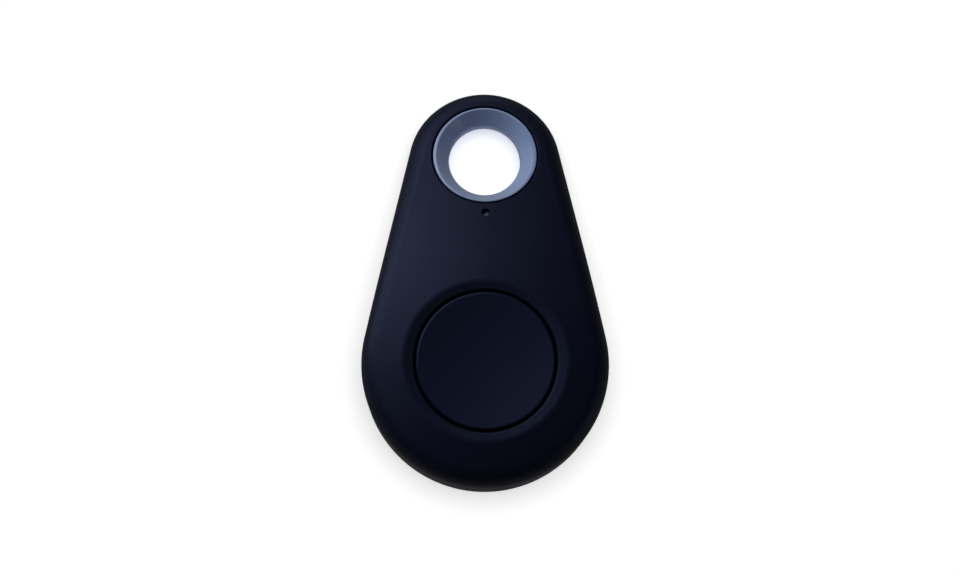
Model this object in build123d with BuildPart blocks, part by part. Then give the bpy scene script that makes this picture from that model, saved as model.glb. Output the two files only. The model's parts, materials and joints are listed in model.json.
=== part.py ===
from build123d import *

import os
from math import asin, cos, degrees, radians, sin, sqrt, tan

# Bluetooth tracker tag: a drop-shaped two-part housing round a keyring eye, with a round push button.
#
# Lengths are millimetres. The tag lies on its back: +Z points out of the button's face, +Y runs from the
# round end to the keyring eye, and the origin is under the middle of the tag, on its flat back.

# Housing, outside
LENGTH = 52.0
WIDTH = 31.0
ROUND_R = WIDTH / 2  # the wide round end, seen from the front
NOSE_R = 9.85  # the narrow end, round the eye
CROWN_TOP = 11.7  # top of the front's curve over the round end's centre, before the dish is cut
CROWN_LENGTH_R = 70.0  # the front's curve along the tag
CROWN_WIDTH_R = 75.0  # the front's curve across the tag
CROWN_BEND_Y = 5.0  # from here to the nose the front runs straight down
FRONT_EDGE_R = 2.5
BACK_EDGE_R = 1.8
WALL = 1.3
FLOOR = 1.2
SEAM_Z = 2.4  # height of the joint line between the two halves
SEAM_GAP = 0.04
SEAM_CHAMFER = 0.12
ROUND_Y = ROUND_R - LENGTH / 2
NOSE_Y = LENGTH / 2 - NOSE_R
FRONT_SLOPE = asin((CROWN_BEND_Y - ROUND_Y) / CROWN_LENGTH_R)

# Keyring eye
EYE_Y = NOSE_Y + 0.68
EYE_BOSS_R = 8.6
EYE_HOLE_R = 6.88  # the hole through both halves, which the light ring lines
RING_R = 6.66
RING_BOTTOM = 0.1
RING_MOUTH_R = 6.46
EYE_R = 4.66  # the clear hole for the keyring
EYE_LAND_TOP = 4.35  # the straight part of the hole, between its two flared mouths
EYE_LAND_BOTTOM = 2.95
EYE_THROAT_R = 0.7  # rounding where the front mouth meets the straight part
BACK_MOUTH_R = 6.1
COLLAR_R = 7.4
COLLAR_BOTTOM = 2.46
COLLAR_TOP = 3.36
COLLAR_CLEARANCE = 0.3
RIM_ROUNDING = 0.1

# Indicator: a peg of the light ring, under a pinhole in the front
PINHOLE_Y = 8.75
PINHOLE_R = 0.5
PEG_R = 0.4
PEG_RECESS = 0.9
TAB_WIDTH = 2.0
TAB_BOTTOM = 5.0
TAB_TOP = 6.8
TAB_START_Y = 7.9
TAB_END_Y = 10.6
TAB_CLEARANCE = 0.12

# Button
BUTTON_HOLE_R = 8.9
BUTTON_R = 8.65
BUTTON_TOP = 10.9
BUTTON_HOLLOW = 0.45  # depth of the finger hollow
BUTTON_EDGE_R = 0.3
CAP_UNDERSIDE = 8.9
FLANGE_R = 9.6
FLANGE_TOP = 8.85
FLANGE_BOTTOM = 8.15
SKIRT_R = 7.6
POST_R = 1.5
POST_BOTTOM = 7.62
RIB_THICKNESS = 0.6
RIB_BOTTOM = 8.35
KEY_WIDTH = 1.1
KEY_CLEARANCE = 0.15
KEY_INNER_R = 9.0
KEY_BOTTOM = 8.0
COLLAR_LAND_R = 10.7  # the thick collar under the dish, which stops the button's flange
COLLAR_LAND_Z = 8.9
DISH_R = 10.1  # radius at the height where the dish meets the crown
DISH_RIM_Z = 10.97
DISH_BOTTOM = 10.82
DISH_EDGE_R = 1.6
HOLE_EDGE_R = 0.22
HOLE_RIM_BAND = 0.05  # the hole's rim is found within this height of the dish's bottom

# Circuit board and its stakes
BOARD_BOTTOM = 5.3
BOARD_TOP = 6.1
BOARD_INSET = 1.7
BOARD_END_Y = 7.7
BOARD_CORNER_R = 1.0
STAKES = [(-8.9, -1.0), (8.9, -1.0), (0.0, -23.0)]
STAKE_BOSS_R = 1.2
STAKE_R = 0.6
STAKE_HOLE_R = 0.65
STAKE_HEAD_R = 1.0
STAKE_HEAD_BOTTOM = 4.85

# Tactile switch, under the button's centre
SWITCH_SIDE = 5.2
SWITCH_TOP = 7.0
SWITCH_CAVITY_R = 2.0
SWITCH_CAVITY_FLOOR = 6.45
SWITCH_PLATE_SIDE = 5.0
SWITCH_PLATE = 0.15
SWITCH_PLATE_HOLE_R = 1.35
DOME_R = 1.9
DOME_SHEET = 0.08
DOME_BOTTOM = SWITCH_CAVITY_FLOOR + 0.01
DOME_TOP = 6.84
PLUNGER_FLANGE_R = 1.8
PLUNGER_FLANGE_BOTTOM = 6.86
PLUNGER_FLANGE_TOP = 6.98
PLUNGER_R = 1.2
PLUNGER_TOP = 7.6
TERMINAL_WIDTH = 0.7
TERMINAL_REACH = 0.7
TERMINAL_SHEET = 0.1
TERMINAL_HEIGHT = 0.5

# Parts on the board: x, y of each, then their length, width and height
RADIO_AT = (-4.8, 2.0)
RADIO_SIZE = (5.0, 5.0, 0.85)
RADIO_CHAMFER = 0.1
CRYSTAL_AT = (0.3, 2.6)
CRYSTAL_SIZE = (2.5, 3.2, 0.7)
CRYSTAL_CORNER_R = 0.4
CRYSTAL_EDGE_R = 0.15
INDUCTOR_AT = (3.4, 0.6)
INDUCTOR_SIZE = (1.6, 2.0, 0.9)
LED_AT = (0.0, 7.1)
LED_SIZE = (1.6, 0.8, 0.7)
CHIP_SIZE = (1.0, 0.5, 0.5)
RESISTOR_HEIGHT = 0.35
CAPACITOR_ROWS = [(-5.6, -2.2), (-3.9, -2.2), (-2.2, -2.2), (-5.6, 5.6), (-3.9, 5.6), (-2.2, 5.6)]
RESISTOR_ROWS = [(6.0, -3.6), (6.0, -2.4), (6.0, -1.2), (-6.6, -6.0)]
ANTENNA_X = 4.6
ANTENNA_Y = 3.2
ANTENNA_RUN = 3.6
ANTENNA_STEP = 0.9
ANTENNA_TURNS = 6
TRACE_WIDTH = 0.35
TRACE_HEIGHT = 0.05
TEST_PAD_R = 0.6
TEST_PAD_X = -6.6
TEST_PAD_PITCH = 1.7
TEST_PAD_COUNT = 4

# Coin cell of CR2032 size, and its contacts
CELL_Y = -12.0
CELL_R = 10.0
CELL_BOTTOM = 1.5
CELL_TOP = CELL_BOTTOM + 3.2
CELL_SHEET = 0.25
CAN_CHAMFER = 0.3
CRIMP_TOP = CELL_TOP - 0.15  # the can's rim, rolled in over the gasket
CRIMP_SLOPE = 0.45
CRIMP_R = CELL_R - 0.95
CAP_R = CELL_R - 1.0
CAP_BOTTOM = CELL_BOTTOM + 0.6
FILLING_R = CELL_R - 1.4
CATHODE_TOP = CELL_BOTTOM + 1.5
SEPARATOR_SHEET = 0.15
CRADLE_R = 10.25
CRADLE_WALL = 0.8
CRADLE_TOP = 4.2
CRADLE_GAP = 5.2
SIDE_CONTACT_ANGLES = (30, 150)  # about the cell's centre, from +X
CONTACT_SHEET = 0.2
CONTACT_WIDTH = 3.6
CONTACT_GAP = 0.05
CONTACT_FOOT = 2.0
CONTACT_BOTTOM = 2.45
CONTACT_FLARE = 0.4  # how far the lower end bends out, to let the cell in
SPRING_SHEET = 0.16
SPRING_WIDTH = 3.0
SPRING_START_Y = -4.5
SPRING_BEND_Y = -7.0
SPRING_TOUCH_Y = CELL_Y - 0.4
SPRING_TIP_Y = CELL_Y - 1.8
SPRING_TIP_DROP = 0.12
SPRING_GAP = 0.04
PAD_R = 6.0

# Sounder, under the board and over the sound holes
SOUNDER_Y = 3.1
SOUNDER_SIDE = 7.5
SOUNDER_HEIGHT = 2.5
SOUNDER_BOTTOM = BOARD_BOTTOM - SOUNDER_HEIGHT
SOUNDER_BORE_R = 3.4
SOUNDER_STEP_R = 3.1
SOUNDER_CORNER_R = 0.6
SOUNDER_PORT_R = 1.2
SOUNDER_FLOOR = 0.3
SOUNDER_STEP = 0.55  # the diaphragm rests on this step, above the case's outside
DIAPHRAGM_SHEET = 0.08
MAGNET_RISE = 0.65
MAGNET_BORE_R = 2.5
COIL_RISE = 1.0
COIL_R = 2.3
POLE_RISE = 0.9
POLE_R = 0.9
POLE_PLATE = 0.26
LOOSE = 0.02  # room left round a piece that drops into place
SOUND_HOLE_R = 0.45
SOUND_HOLE_PITCH = 1.6
CHIMNEY_R = 3.0
CHIMNEY_WALL = 0.6
CHIMNEY_TOP = SOUNDER_BOTTOM - 0.1

# Back cover's tongue, which fits inside the front shell
TONGUE_INSET = WALL + 0.12
TONGUE_WALL = 0.8
TONGUE_TOP = 3.4
TONGUE_END_Y = 12.5
CRUSH_RIB = 0.11  # the ribs just reach the shell's wall and hold the cover by friction
CRUSH_RIB_WIDTH = 0.8
CRUSH_RIB_ANGLES = (205, 235, 305, 335)
CRUSH_RIB_YS = (-2.0, 8.0)
NOTCH_WIDTH = 6.0
NOTCH_DEPTH = 0.7
NOTCH_HEIGHT = 0.65

MERGE = 0.1  # how far a feature runs into the wall that carries it


def front_height(y):
    """Height of the front over the centre line, on its straight stretch."""
    bend_z = CROWN_TOP - CROWN_LENGTH_R * (1 - cos(FRONT_SLOPE))
    return bend_z - (y - CROWN_BEND_Y) * tan(FRONT_SLOPE)


def upright(y):
    """The X-Z plane through a point of the centre line."""
    return Plane(origin=(0, y, 0), x_dir=(1, 0, 0), z_dir=(0, -1, 0))


def upright_axis(y):
    """The upright line through a point of the centre line."""
    return Axis((0, y, 0), (0, 0, 1))


def drop_outline(inset, base):
    """The tag's outline, moved inwards by inset, at height base."""
    with BuildSketch(Plane.XY.offset(base), mode=Mode.PRIVATE) as outline:
        with Locations((0, ROUND_Y)):
            Circle(ROUND_R - inset)
        with Locations((0, NOSE_Y)):
            Circle(NOSE_R - inset)
        make_hull()
    return outline.sketch


def drop_wall(outer_inset, inner_inset, base, top):
    """A wall that follows the outline, between two insets."""
    with BuildPart(mode=Mode.PRIVATE) as wall:
        add(drop_outline(outer_inset, base))
        extrude(amount=top - base)
        add(drop_outline(inner_inset, base))
        extrude(amount=top - base, mode=Mode.SUBTRACT)
    return wall.part


def under_crown(inset):
    """Everything under the front's double-curved surface, moved inwards by inset."""
    half_width = 22.0
    depth = 24.0
    side_r = CROWN_WIDTH_R - inset
    side_drop = side_r - sqrt(side_r**2 - half_width**2)
    lead_in = 18.0
    with BuildLine(Plane.YZ, mode=Mode.PRIVATE) as path:
        bend = CenterArc(
            (ROUND_Y, CROWN_TOP - CROWN_LENGTH_R),
            CROWN_LENGTH_R - inset,
            90 + lead_in,
            -(lead_in + degrees(FRONT_SLOPE)),
        )
        Line(bend @ 1, (bend @ 1) + (bend % 1) * LENGTH * 0.6)
    rail = path.wires()[0]
    with BuildPart(mode=Mode.PRIVATE) as under:
        with BuildSketch(Plane(origin=rail @ 0, x_dir=(-1, 0, 0), z_dir=rail % 0)):
            with BuildLine():
                ThreePointArc((-half_width, -side_drop), (0, 0), (half_width, -side_drop))
                Line((half_width, -side_drop), (half_width, -depth))
                Line((half_width, -depth), (-half_width, -depth))
                Line((-half_width, -depth), (-half_width, -side_drop))
            make_face()
        sweep(path=rail)
    return under.part


def housing_form(inset, floor):
    """The closed housing's outside, or a surface inside it when inset is more than nothing."""
    with BuildPart(mode=Mode.PRIVATE) as form:
        add(drop_outline(inset, floor))
        extrude(amount=CROWN_TOP)
        add(under_crown(inset), mode=Mode.INTERSECT)
        top_edges = [e for f in form.faces() if f.normal_at().Z > 0.7 for e in f.edges()]
        rim = [e for e in top_edges if sum(e.is_same(other) for other in top_edges) == 1]
        fillet(rim, FRONT_EDGE_R - inset)
        fillet(form.faces().sort_by(Axis.Z)[0].edges(), BACK_EDGE_R - inset)
    return form.part


def slab(bottom, top):
    """A block that covers the whole tag between two heights."""
    with BuildPart(Plane.XY.offset(bottom), mode=Mode.PRIVATE) as block:
        Box(2 * WIDTH, 2 * LENGTH, top - bottom, align=(Align.CENTER, Align.CENTER, Align.MIN))
    return block.part


def write(piece, name):
    """Name a finished piece and write its file."""
    piece.part.label = name
    export_step(piece.part, f"parts/{name}.step")


os.makedirs("parts", exist_ok=True)

outside = housing_form(0, 0)
inside = housing_form(WALL, FLOOR)
mid_wall = housing_form(WALL / 2, FLOOR / 2)  # features inside stop here, clear of the outside
above_seam = slab(SEAM_Z, 2 * CROWN_TOP)
below_seam = slab(-1, SEAM_Z - SEAM_GAP)
eye_plane = Plane(
    origin=(0, EYE_Y, front_height(EYE_Y)),
    x_dir=(1, 0, 0),
    z_dir=(0, sin(FRONT_SLOPE), cos(FRONT_SLOPE)),
)

# ------------------------------------------------------------------------------------------- housing

with BuildPart() as front_fittings:
    with BuildSketch(Plane.XY.offset(COLLAR_LAND_Z)):
        with Locations((0, ROUND_Y)):
            Circle(COLLAR_LAND_R)
    extrude(amount=CROWN_TOP - COLLAR_LAND_Z)
    with BuildSketch(Plane.XY.offset(SEAM_Z)):
        with Locations((0, EYE_Y)):
            Circle(EYE_BOSS_R)
    extrude(amount=CROWN_TOP - SEAM_Z)
    with BuildSketch(Plane.XY.offset(BOARD_TOP)):
        with Locations(*STAKES):
            Circle(STAKE_BOSS_R)
    extrude(amount=CROWN_TOP - BOARD_TOP)
    add(mid_wall, mode=Mode.INTERSECT)

with BuildPart() as front_shell:
    add(outside)
    add(above_seam, mode=Mode.INTERSECT)
    add(inside, mode=Mode.SUBTRACT)
    add(front_fittings.part)
    # The two ribs that keep the button from turning
    with BuildSketch(Plane.XY.offset(KEY_BOTTOM)):
        with Locations((0, ROUND_Y)):
            with PolarLocations((KEY_INNER_R + COLLAR_LAND_R) / 2, 2):
                Rectangle(COLLAR_LAND_R - KEY_INNER_R, KEY_WIDTH)
    extrude(amount=COLLAR_LAND_Z - KEY_BOTTOM + MERGE)
    # The dish and the button's hole
    with BuildSketch(upright(ROUND_Y)):
        with BuildLine():
            slope = (DISH_R - BUTTON_HOLE_R) / (DISH_RIM_Z - DISH_BOTTOM)
            dish_top = CROWN_TOP + 1
            dish_top_r = BUTTON_HOLE_R + slope * (dish_top - DISH_BOTTOM)
            Polyline(
                (0, KEY_BOTTOM - 1),
                (BUTTON_HOLE_R, KEY_BOTTOM - 1),
                (BUTTON_HOLE_R, DISH_BOTTOM),
                (dish_top_r, dish_top),
                (0, dish_top),
                close=True,
            )
        make_face()
    revolve(axis=upright_axis(ROUND_Y), mode=Mode.SUBTRACT)
    dish_rim = front_shell.edges().filter_by(
        lambda e: e.bounding_box().min.Z > DISH_BOTTOM + HOLE_RIM_BAND
        and e.bounding_box().size.X > 2 * BUTTON_HOLE_R
    )
    fillet(dish_rim, DISH_EDGE_R)
    hole_rim = front_shell.edges().filter_by(GeomType.CIRCLE).filter_by_position(
        Axis.Z, DISH_BOTTOM - HOLE_RIM_BAND, DISH_BOTTOM + HOLE_RIM_BAND
    )
    fillet(hole_rim, HOLE_EDGE_R)
    # The eye, with a step that traps the light ring's collar
    with BuildSketch(Plane.XY.offset(0)):
        with Locations((0, EYE_Y)):
            Circle(EYE_HOLE_R)
    extrude(amount=2 * CROWN_TOP, mode=Mode.SUBTRACT)
    with BuildSketch(Plane.XY.offset(SEAM_Z)):
        with Locations((0, EYE_Y)):
            Circle(COLLAR_R + COLLAR_CLEARANCE)
    extrude(amount=COLLAR_TOP + SEAM_GAP - SEAM_Z, mode=Mode.SUBTRACT)
    eye_rim = front_shell.edges().filter_by(
        lambda e: e.bounding_box().min.Y > EYE_Y - EYE_HOLE_R - 0.1
        and e.bounding_box().size.X > 2 * EYE_HOLE_R - 0.1
        and e.bounding_box().size.Z > 1
    )
    fillet(eye_rim, RIM_ROUNDING)
    # The way in for the light ring's tab, and the pinhole over its peg
    with BuildSketch(Plane.XY.offset(SEAM_Z)):
        with Locations((0, (TAB_START_Y + TAB_END_Y) / 2)):
            Rectangle(TAB_WIDTH + 2 * TAB_CLEARANCE, TAB_END_Y - TAB_START_Y + 2 * TAB_CLEARANCE)
    extrude(amount=TAB_TOP + TAB_CLEARANCE - SEAM_Z, mode=Mode.SUBTRACT)
    with BuildSketch(Plane.XY.offset(TAB_TOP)):
        with Locations((0, PINHOLE_Y)):
            Circle(PINHOLE_R)
    extrude(amount=CROWN_TOP, mode=Mode.SUBTRACT)
    seam_face = front_shell.faces().filter_by(Plane.XY).group_by(Axis.Z)[0].sort_by(SortBy.AREA)[-1]
    chamfer(seam_face.outer_wire().edges(), SEAM_CHAMFER)
    # The stakes that hold the board, with their melted heads
    with BuildSketch(Plane.XY.offset(STAKE_HEAD_BOTTOM)):
        with Locations(*STAKES):
            Circle(STAKE_R)
    extrude(amount=BOARD_TOP - STAKE_HEAD_BOTTOM)
    with BuildSketch(Plane.XY.offset(STAKE_HEAD_BOTTOM)):
        with Locations(*STAKES):
            Circle(STAKE_HEAD_R)
    extrude(amount=BOARD_BOTTOM - STAKE_HEAD_BOTTOM)
write(front_shell, "front_shell")

with BuildPart() as rib_places:
    with BuildSketch(Plane.XY.offset(SEAM_Z)):
        for angle in CRUSH_RIB_ANGLES:
            with Locations((0, ROUND_Y)):
                with PolarLocations(ROUND_R - TONGUE_INSET, 1, start_angle=angle):
                    Rectangle(4 * TONGUE_WALL, CRUSH_RIB_WIDTH)
        with Locations(*[(side * WIDTH / 3, y) for side in (-1, 1) for y in CRUSH_RIB_YS]):
            Rectangle(WIDTH / 3, CRUSH_RIB_WIDTH)
    extrude(amount=TONGUE_TOP - SEAM_Z - CRUSH_RIB)
    add(drop_wall(TONGUE_INSET - CRUSH_RIB, TONGUE_INSET + MERGE, SEAM_Z, TONGUE_TOP), mode=Mode.INTERSECT)

with BuildPart() as back_cover:
    add(outside)
    add(below_seam, mode=Mode.INTERSECT)
    add(inside, mode=Mode.SUBTRACT)
    cover_rim = back_cover.faces().filter_by(Plane.XY).sort_by(Axis.Z)[-1]
    chamfer(cover_rim.outer_wire().edges(), SEAM_CHAMFER)
    # The tongue, thickened into the wall under the seam, stops short of the eye
    add(drop_wall(WALL - MERGE, TONGUE_INSET + TONGUE_WALL, FLOOR - MERGE, SEAM_Z - SEAM_GAP))
    add(drop_wall(TONGUE_INSET, TONGUE_INSET + TONGUE_WALL, FLOOR, TONGUE_TOP))
    with BuildSketch(Plane.XY.offset(SEAM_Z - SEAM_GAP)):
        with Locations((0, TONGUE_END_Y)):
            Rectangle(2 * WIDTH, LENGTH, align=(Align.CENTER, Align.MIN))
    extrude(amount=CROWN_TOP, mode=Mode.SUBTRACT)
    add(rib_places.part)
    # The boss round the eye, under the light ring's collar
    with BuildSketch(Plane.XY.offset(FLOOR - MERGE)):
        with Locations((0, EYE_Y)):
            Circle(EYE_BOSS_R)
    extrude(amount=SEAM_Z - SEAM_GAP - FLOOR + MERGE)
    with BuildSketch(Plane.XY.offset(-1)):
        with Locations((0, EYE_Y)):
            Circle(EYE_HOLE_R)
    extrude(amount=SEAM_Z + 1, mode=Mode.SUBTRACT)
    # The cradle round the cell, open at the two side contacts
    with BuildSketch(Plane.XY.offset(FLOOR - MERGE)):
        with Locations((0, CELL_Y)):
            Circle(CRADLE_R + CRADLE_WALL)
            Circle(CRADLE_R, mode=Mode.SUBTRACT)
            for angle in SIDE_CONTACT_ANGLES:
                with PolarLocations(CRADLE_R, 1, start_angle=angle):
                    Rectangle(4 * CRADLE_WALL, CRADLE_GAP, mode=Mode.SUBTRACT)
    extrude(amount=CRADLE_TOP - FLOOR + MERGE)
    # The sound holes, and the chimney that joins them to the sounder
    with BuildSketch(Plane.XY.offset(FLOOR - MERGE)):
        with Locations((0, SOUNDER_Y)):
            Circle(CHIMNEY_R + CHIMNEY_WALL)
            Circle(CHIMNEY_R, mode=Mode.SUBTRACT)
    extrude(amount=CHIMNEY_TOP - FLOOR + MERGE)
    with BuildSketch(Plane.XY.offset(-1)):
        with Locations((0, SOUNDER_Y)):
            Circle(SOUND_HOLE_R)
            with PolarLocations(SOUND_HOLE_PITCH, 6):
                Circle(SOUND_HOLE_R)
    extrude(amount=FLOOR + 2, mode=Mode.SUBTRACT)
    # The notch for a coin's edge, to lift the cover
    with BuildSketch(Plane.XY.offset(SEAM_Z - NOTCH_HEIGHT)):
        with Locations((0, -LENGTH / 2)):
            Rectangle(NOTCH_WIDTH, 2 * NOTCH_DEPTH)
    extrude(amount=NOTCH_HEIGHT, mode=Mode.SUBTRACT)
write(back_cover, "back_cover")

with BuildPart() as ring_mouth:
    with BuildSketch(Plane.XY.offset(EYE_LAND_TOP)):
        with Locations((0, EYE_Y)):
            Circle(EYE_R)
    with BuildSketch(eye_plane):
        Ellipse(RING_MOUTH_R, RING_MOUTH_R / cos(FRONT_SLOPE))
    loft(ruled=True)

with BuildPart() as light_ring:
    with BuildSketch(upright(EYE_Y)):
        Polygon(
            (EYE_R, EYE_LAND_BOTTOM),
            (BACK_MOUTH_R, RING_BOTTOM),
            (RING_R, RING_BOTTOM),
            (RING_R, COLLAR_BOTTOM),
            (COLLAR_R, COLLAR_BOTTOM),
            (COLLAR_R, COLLAR_TOP),
            (RING_R, COLLAR_TOP),
            (RING_R, CROWN_TOP),
            (EYE_R, CROWN_TOP),
            align=None,
        )
    revolve(axis=upright_axis(EYE_Y))
    add(under_crown(0), mode=Mode.INTERSECT)
    add(ring_mouth.part, mode=Mode.SUBTRACT)
    throat = light_ring.edges().filter_by(GeomType.CIRCLE).filter_by_position(
        Axis.Z, EYE_LAND_TOP - 0.01, EYE_LAND_TOP + 0.01
    )
    fillet(throat, EYE_THROAT_R)
    sloping = light_ring.edges().filter_by(lambda e: e.bounding_box().size.Z > 1)
    lip = sloping.filter_by(lambda e: e.bounding_box().size.X > 2 * EYE_R + 1)
    fillet(lip, RIM_ROUNDING)
    # The tab that leads light in from the board, and the peg under the pinhole
    with BuildSketch(Plane.XY.offset(TAB_BOTTOM)):
        with Locations((0, (TAB_START_Y + TAB_END_Y) / 2)):
            Rectangle(TAB_WIDTH, TAB_END_Y - TAB_START_Y)
    extrude(amount=TAB_TOP - TAB_BOTTOM)
    with BuildSketch(Plane.XY.offset(TAB_TOP - MERGE)):
        with Locations((0, PINHOLE_Y)):
            Circle(PEG_R)
    extrude(amount=front_height(PINHOLE_Y) - PEG_RECESS - TAB_TOP + MERGE)
write(light_ring, "light_ring")

# -------------------------------------------------------------------------------------------- button

with BuildPart() as button_cap:
    with BuildSketch(upright(ROUND_Y)):
        Polygon(
            (0, CAP_UNDERSIDE),
            (SKIRT_R, CAP_UNDERSIDE),
            (SKIRT_R, FLANGE_BOTTOM),
            (FLANGE_R, FLANGE_BOTTOM),
            (FLANGE_R, FLANGE_TOP),
            (BUTTON_R, FLANGE_TOP),
            (BUTTON_R, BUTTON_TOP),
            (0, BUTTON_TOP),
            align=None,
        )
    revolve(axis=upright_axis(ROUND_Y))
    fillet(button_cap.edges().filter_by(GeomType.CIRCLE).sort_by(Axis.Z)[-1], BUTTON_EDGE_R)
    # The finger hollow, a shallow piece of a sphere
    hollow_r = BUTTON_R - BUTTON_EDGE_R
    sphere_r = (hollow_r**2 + BUTTON_HOLLOW**2) / (2 * BUTTON_HOLLOW)
    with BuildSketch(upright(ROUND_Y)):
        with BuildLine():
            low = (0, BUTTON_TOP - BUTTON_HOLLOW)
            edge = (hollow_r, BUTTON_TOP)
            RadiusArc(low, edge, -sphere_r)
            Line(edge, (0, BUTTON_TOP))
            Line((0, BUTTON_TOP), low)
        make_face()
    revolve(axis=upright_axis(ROUND_Y), mode=Mode.SUBTRACT)
    # The post that works the switch, and the ribs that stiffen the cap
    with BuildSketch(Plane.XY.offset(POST_BOTTOM)):
        with Locations((0, ROUND_Y)):
            Circle(POST_R)
    extrude(amount=CAP_UNDERSIDE - POST_BOTTOM + MERGE)
    with BuildSketch(Plane.XY.offset(RIB_BOTTOM)):
        with Locations((0, ROUND_Y)):
            with PolarLocations((POST_R + SKIRT_R) / 2, 3, start_angle=90):
                Rectangle(SKIRT_R - POST_R + 2 * MERGE, RIB_THICKNESS)
    extrude(amount=CAP_UNDERSIDE - RIB_BOTTOM + MERGE)
    # The notches for the shell's two ribs
    with BuildSketch(Plane.XY.offset(FLANGE_BOTTOM)):
        with Locations((0, ROUND_Y)):
            with PolarLocations(KEY_INNER_R - KEY_CLEARANCE + WALL / 2, 2):
                Rectangle(WALL, KEY_WIDTH + 2 * KEY_CLEARANCE)
    extrude(amount=FLANGE_TOP - FLANGE_BOTTOM, mode=Mode.SUBTRACT)
write(button_cap, "button_cap")

# ------------------------------------------------------------------------------------- circuit board

with BuildPart() as circuit_board:
    add(drop_outline(BOARD_INSET, BOARD_BOTTOM))
    extrude(amount=BOARD_TOP - BOARD_BOTTOM)
    with BuildSketch(Plane.XY.offset(BOARD_BOTTOM)):
        with Locations((0, BOARD_END_Y)):
            Rectangle(2 * WIDTH, LENGTH, align=(Align.CENTER, Align.MIN))
    extrude(amount=BOARD_TOP - BOARD_BOTTOM, mode=Mode.SUBTRACT)
    fillet(circuit_board.edges().filter_by(Axis.Z).group_by(Axis.Y)[-1], BOARD_CORNER_R)
    with BuildSketch(Plane.XY.offset(BOARD_BOTTOM)):
        with Locations(*STAKES):
            Circle(STAKE_HOLE_R)
    extrude(amount=BOARD_TOP - BOARD_BOTTOM, mode=Mode.SUBTRACT)
write(circuit_board, "circuit_board")


def footprints(places, size, corner=0.0):
    """Footprints on top of the board, one rectangle of a size at each place."""
    with BuildSketch(Plane.XY.offset(BOARD_TOP), mode=Mode.PRIVATE) as footprint:
        with Locations(*places):
            if corner:
                RectangleRounded(size[0], size[1], corner)
            else:
                Rectangle(size[0], size[1])
    return footprint.sketch


with BuildPart() as radio_chip:
    add(footprints([RADIO_AT], RADIO_SIZE))
    extrude(amount=RADIO_SIZE[2])
    chamfer(radio_chip.faces().sort_by(Axis.Z)[-1].edges(), RADIO_CHAMFER)
write(radio_chip, "radio_chip")

with BuildPart() as crystal_can:
    add(footprints([CRYSTAL_AT], CRYSTAL_SIZE, corner=CRYSTAL_CORNER_R))
    extrude(amount=CRYSTAL_SIZE[2])
    fillet(crystal_can.faces().sort_by(Axis.Z)[-1].edges(), CRYSTAL_EDGE_R)
write(crystal_can, "crystal_can")

with BuildPart() as chip_inductor:
    add(footprints([INDUCTOR_AT], INDUCTOR_SIZE))
    extrude(amount=INDUCTOR_SIZE[2])
write(chip_inductor, "chip_inductor")

with BuildPart() as indicator_led:
    add(footprints([LED_AT], LED_SIZE))
    extrude(amount=LED_SIZE[2])
write(indicator_led, "indicator_led")

with BuildPart() as chip_capacitors:
    add(footprints(CAPACITOR_ROWS, CHIP_SIZE))
    extrude(amount=CHIP_SIZE[2])
write(chip_capacitors, "chip_capacitors")

with BuildPart() as chip_resistors:
    add(footprints(RESISTOR_ROWS, CHIP_SIZE))
    extrude(amount=RESISTOR_HEIGHT)
write(chip_resistors, "chip_resistors")

with BuildPart() as antenna_trace:
    with BuildSketch(Plane.XY.offset(BOARD_BOTTOM - TRACE_HEIGHT)):
        for turn in range(ANTENNA_TURNS):
            x = ANTENNA_X + turn * ANTENNA_STEP
            with Locations((x, ANTENNA_Y)):
                Rectangle(TRACE_WIDTH, ANTENNA_RUN)
            end_y = ANTENNA_Y + (ANTENNA_RUN - TRACE_WIDTH) / 2 * (1 if turn % 2 else -1)
            if turn + 1 < ANTENNA_TURNS:
                with Locations((x + ANTENNA_STEP / 2, end_y)):
                    Rectangle(ANTENNA_STEP, TRACE_WIDTH)
    extrude(amount=TRACE_HEIGHT)
write(antenna_trace, "antenna_trace")

with BuildPart() as test_pads:
    with BuildSketch(Plane.XY.offset(BOARD_BOTTOM - TRACE_HEIGHT)):
        with Locations((TEST_PAD_X, SOUNDER_Y)):
            with GridLocations(TEST_PAD_PITCH, TEST_PAD_PITCH, 1, TEST_PAD_COUNT):
                Circle(TEST_PAD_R)
    extrude(amount=TRACE_HEIGHT)
write(test_pads, "test_pads")

# -------------------------------------------------------------------------------------------- switch

with BuildPart() as switch_base:
    with BuildSketch(Plane.XY.offset(BOARD_TOP)):
        with Locations((0, ROUND_Y)):
            Rectangle(SWITCH_SIDE, SWITCH_SIDE)
    extrude(amount=SWITCH_TOP - BOARD_TOP)
    with BuildSketch(Plane.XY.offset(SWITCH_CAVITY_FLOOR)):
        with Locations((0, ROUND_Y)):
            Circle(SWITCH_CAVITY_R)
    extrude(amount=SWITCH_TOP - SWITCH_CAVITY_FLOOR, mode=Mode.SUBTRACT)
write(switch_base, "switch_base")

with BuildPart() as switch_cover_plate:
    with BuildSketch(Plane.XY.offset(SWITCH_TOP)):
        with Locations((0, ROUND_Y)):
            Rectangle(SWITCH_PLATE_SIDE, SWITCH_PLATE_SIDE)
            Circle(SWITCH_PLATE_HOLE_R, mode=Mode.SUBTRACT)
    extrude(amount=SWITCH_PLATE)
write(switch_cover_plate, "switch_cover_plate")

with BuildPart() as switch_plunger:
    with BuildSketch(upright(ROUND_Y)):
        Polygon(
            (0, PLUNGER_FLANGE_BOTTOM),
            (PLUNGER_FLANGE_R, PLUNGER_FLANGE_BOTTOM),
            (PLUNGER_FLANGE_R, PLUNGER_FLANGE_TOP),
            (PLUNGER_R, PLUNGER_FLANGE_TOP),
            (PLUNGER_R, PLUNGER_TOP),
            (0, PLUNGER_TOP),
            align=None,
        )
    revolve(axis=upright_axis(ROUND_Y))
write(switch_plunger, "switch_plunger")

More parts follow.
